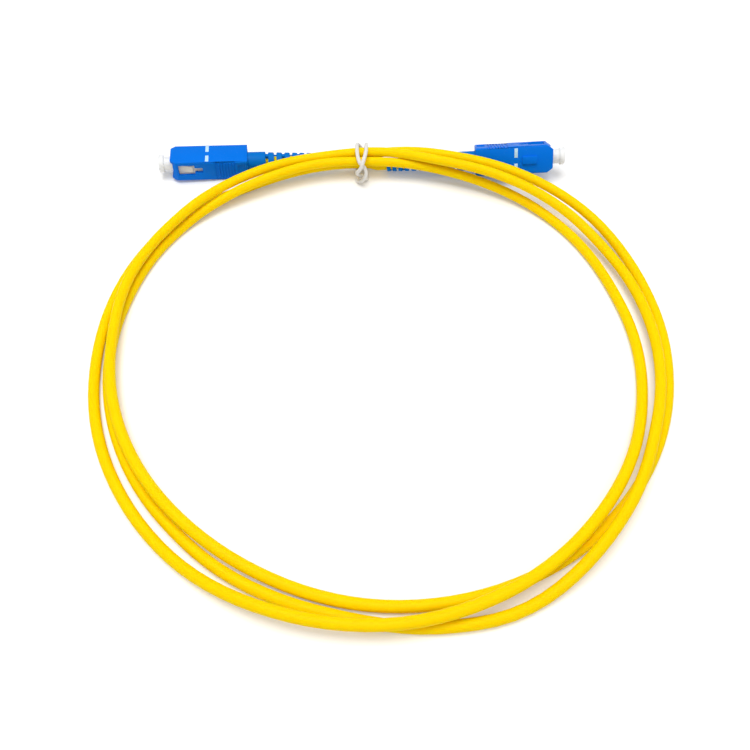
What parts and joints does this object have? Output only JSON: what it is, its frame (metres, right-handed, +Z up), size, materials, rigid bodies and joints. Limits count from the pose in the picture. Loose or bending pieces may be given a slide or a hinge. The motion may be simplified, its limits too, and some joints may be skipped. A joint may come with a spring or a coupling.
{
  "type": "fiber optic patch cord",
  "caption": "Jacketed simplex optical cord coiled in a tied bundle, with a push-pull plug, ribbed strain-relief boot and dust cap on each end.",
  "frame": {"origin": "on the table, midway between the two plugs, under the centre of the box round both plugs", "axes": "+X from the left plug to the right plug; +Y away from the coil, on the plugs' side of it; +Z up; the coil lies on the -Y side"},
  "size_m": [0.1629, 0.1651, 0.013],
  "materials": {
    "housing_blue": "moulded, smooth satin",
    "boot_blue": "flexible thermoplastic rubber, satin",
    "cord_yellow": "extruded jacket, satin",
    "tie_white": "smooth coated strand",
    "frame_ivory": "moulded, satin",
    "cap_clear": "moulded, translucent",
    "zirconia": "ground and polished ceramic",
    "nickel": "turned and nickel plated",
    "spring_steel": "drawn wire",
    "aramid_yellow": "loose spun yarn",
    "fiber_white": "tight buffer coating"
  },
  "bodies": {
    "cord": {"cord_jacket": "cord_yellow", "twist_tie": "tie_white", "plug_frame_a": "frame_ivory", "stop_ring_a": "nickel", "crimp_sleeve_a": "nickel", "strength_yarn_a": "aramid_yellow", "coated_fiber_a": "fiber_white", "boot_a": "boot_blue", "ferrule_spring_a": "spring_steel", "plug_frame_b": "frame_ivory", "stop_ring_b": "nickel", "crimp_sleeve_b": "nickel", "strength_yarn_b": "aramid_yellow", "coated_fiber_b": "fiber_white", "boot_b": "boot_blue", "ferrule_spring_b": "spring_steel"},
    "housing_a": {"grip_housing_a": "housing_blue"},
    "ferrule_set_a": {"ferrule_a": "zirconia", "ferrule_flange_a": "nickel"},
    "cap_a": {"dust_cap_a": "cap_clear"},
    "housing_b": {"grip_housing_b": "housing_blue"},
    "ferrule_set_b": {"ferrule_b": "zirconia", "ferrule_flange_b": "nickel"},
    "cap_b": {"dust_cap_b": "cap_clear"}
  },
  "joints": [
    {"name": "housing_a_pullback", "type": "slide", "parent": "cord", "child": "housing_a", "axis": [0.9943, 0.0957, -0.046], "range_m": [0, 0.0018]},
    {"name": "ferrule_a_retract", "type": "slide", "parent": "cord", "child": "ferrule_set_a", "axis": [0.9943, 0.0957, -0.046], "range_m": [0, 0.001], "stiffness_N_per_m": 5500, "deforming": ["ferrule_spring_a"]},
    {"name": "cap_a_pull", "type": "slide", "parent": "cord", "child": "cap_a", "axis": [-0.9943, -0.0957, 0.046], "range_m": [0, 0.009]},
    {"name": "housing_b_pullback", "type": "slide", "parent": "cord", "child": "housing_b", "axis": [-0.9961, 0.0209, -0.0854], "range_m": [0, 0.0018]},
    {"name": "ferrule_b_retract", "type": "slide", "parent": "cord", "child": "ferrule_set_b", "axis": [-0.9961, 0.0209, -0.0854], "range_m": [0, 0.001], "stiffness_N_per_m": 5500, "deforming": ["ferrule_spring_b"]},
    {"name": "cap_b_pull", "type": "slide", "parent": "cord", "child": "cap_b", "axis": [0.9961, -0.0209, 0.0854], "range_m": [0, 0.009]}
  ]
}
